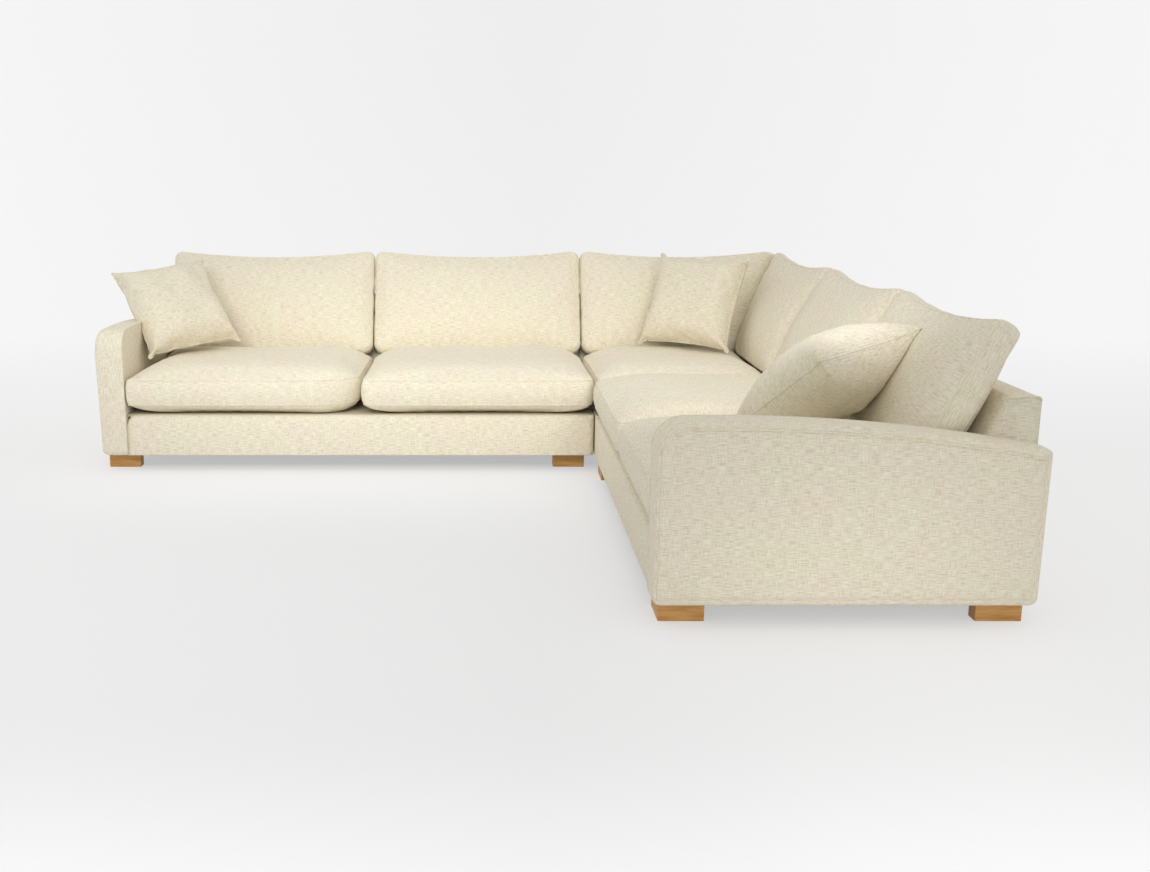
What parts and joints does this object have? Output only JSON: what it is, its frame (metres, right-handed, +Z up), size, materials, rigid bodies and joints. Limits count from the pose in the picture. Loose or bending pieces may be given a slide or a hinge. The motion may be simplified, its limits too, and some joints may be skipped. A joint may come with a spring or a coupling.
{
  "type": "corner sofa",
  "caption": "L-shaped corner sofa in three joined sections, with a narrow curved arm at each end, loose boxed seat cushions, leaning back cushions, scatter cushions and oak block feet.",
  "frame": {"origin": "on the floor under the middle of the sofa's footprint", "axes": "+X to the viewer's right along the left wing, +Y to the back of the left wing, +Z up"},
  "size_m": [3.1964, 2.956, 0.8675],
  "materials": {
    "upholstery": "cream linen-look weave, matte",
    "cushion_fabric": "cream linen-look weave, matte",
    "scatter_fabric": "cream linen-look weave, matte",
    "platform_cloth": "plain lining cloth, matte",
    "dust_cloth": "black non-woven cloth, matte",
    "webbing": "elastic webbing",
    "oak": "satin lacquered oak",
    "hardwood": "rough sawn hardwood",
    "steel": "zinc plated"
  },
  "bodies": {
    "frame": {"connector_plates": "steel", "connector_screws": "steel", "corner_back_cover_left": "upholstery", "corner_back_cover_right": "upholstery", "corner_back_frame": "hardwood", "corner_back_webbing": "webbing", "corner_base_cover": "upholstery", "corner_block_feet": "oak", "corner_dust_cover": "dust_cloth", "corner_foot_bolts": "oak", "corner_platform": "platform_cloth", "corner_seat_frame": "hardwood", "corner_seat_springs": "steel", "corner_spring_clips": "steel", "left_arm_cover": "upholstery", "left_arm_frame": "hardwood", "left_back_cover": "upholstery", "left_back_frame": "hardwood", "left_back_webbing": "webbing", "left_base_cover": "upholstery", "left_block_feet": "oak", "left_corner_foot": "oak", "left_dust_cover": "dust_cloth", "left_foot_bolts": "steel", "left_platform": "platform_cloth", "left_seat_frame": "hardwood", "left_seat_springs": "steel", "left_spring_clips": "steel", "right_arm_cover": "upholstery", "right_arm_frame": "hardwood", "right_back_cover": "upholstery", "right_back_frame": "hardwood", "right_back_webbing": "webbing", "right_base_cover": "upholstery", "right_block_feet": "oak", "right_corner_foot": "oak", "right_dust_cover": "dust_cloth", "right_foot_bolts": "steel", "right_platform": "platform_cloth", "right_seat_frame": "hardwood", "right_seat_springs": "steel", "right_spring_clips": "steel"},
    "left_seat_cushion_inner": {"left_seat_cushion_inner": "cushion_fabric"},
    "left_back_cushion_inner": {"left_back_cushion_inner": "cushion_fabric"},
    "left_seat_cushion_arm": {"left_seat_cushion_arm": "cushion_fabric"},
    "left_back_cushion_arm": {"left_back_cushion_arm": "cushion_fabric"},
    "right_seat_cushion_inner": {"right_seat_cushion_inner": "cushion_fabric"},
    "right_back_cushion_inner": {"right_back_cushion_inner": "cushion_fabric"},
    "right_seat_cushion_arm": {"right_seat_cushion_arm": "cushion_fabric"},
    "right_back_cushion_arm": {"right_back_cushion_arm": "cushion_fabric"},
    "corner_seat_cushion": {"corner_seat_cushion": "cushion_fabric"},
    "corner_back_cushion_left": {"corner_back_cushion_left": "cushion_fabric"},
    "corner_back_cushion_right": {"corner_back_cushion_right": "cushion_fabric"},
    "scatter_cushion_left": {"scatter_cushion_left": "scatter_fabric"},
    "scatter_cushion_right": {"scatter_cushion_right": "scatter_fabric"},
    "scatter_cushion_corner": {"scatter_cushion_corner": "scatter_fabric"}
  },
  "joints": [
    {"name": "left_seat_cushion_inner_lift", "type": "slide", "parent": "frame", "child": "left_seat_cushion_inner", "axis": [0, 0, 1], "range_m": [0, 0.2]},
    {"name": "left_back_cushion_inner_lift", "type": "slide", "parent": "left_seat_cushion_inner", "child": "left_back_cushion_inner", "axis": [0, 0.454, 0.891], "range_m": [0, 0.2]},
    {"name": "left_seat_cushion_arm_lift", "type": "slide", "parent": "frame", "child": "left_seat_cushion_arm", "axis": [0, 0, 1], "range_m": [0, 0.2]},
    {"name": "left_back_cushion_arm_lift", "type": "slide", "parent": "left_seat_cushion_arm", "child": "left_back_cushion_arm", "axis": [0, 0.454, 0.891], "range_m": [0, 0.2]},
    {"name": "right_seat_cushion_inner_lift", "type": "slide", "parent": "frame", "child": "right_seat_cushion_inner", "axis": [0, 0, 1], "range_m": [0, 0.2]},
    {"name": "right_back_cushion_inner_lift", "type": "slide", "parent": "right_seat_cushion_inner", "child": "right_back_cushion_inner", "axis": [0.454, 0, 0.891], "range_m": [0, 0.2]},
    {"name": "right_seat_cushion_arm_lift", "type": "slide", "parent": "frame", "child": "right_seat_cushion_arm", "axis": [0, 0, 1], "range_m": [0, 0.2]},
    {"name": "right_back_cushion_arm_lift", "type": "slide", "parent": "right_seat_cushion_arm", "child": "right_back_cushion_arm", "axis": [0.454, 0, 0.891], "range_m": [0, 0.2]},
    {"name": "corner_seat_cushion_lift", "type": "slide", "parent": "frame", "child": "corner_seat_cushion", "axis": [0, 0, 1], "range_m": [0, 0.2]},
    {"name": "corner_back_cushion_left_lift", "type": "slide", "parent": "corner_seat_cushion", "child": "corner_back_cushion_left", "axis": [0, 0.454, 0.891], "range_m": [0, 0.2]},
    {"name": "corner_back_cushion_right_lift", "type": "slide", "parent": "corner_seat_cushion", "child": "corner_back_cushion_right", "axis": [0.454, 0, 0.891], "range_m": [0, 0.2]},
    {"name": "scatter_cushion_left_lift", "type": "slide", "parent": "left_back_cushion_arm", "child": "scatter_cushion_left", "axis": [0, 0, 1], "range_m": [0, 0.25]},
    {"name": "scatter_cushion_right_lift", "type": "slide", "parent": "right_back_cushion_arm", "child": "scatter_cushion_right", "axis": [0, 0, 1], "range_m": [0, 0.25]},
    {"name": "scatter_cushion_corner_lift", "type": "slide", "parent": "corner_back_cushion_left", "child": "scatter_cushion_corner", "axis": [0, 0, 1], "range_m": [0, 0.25]}
  ]
}
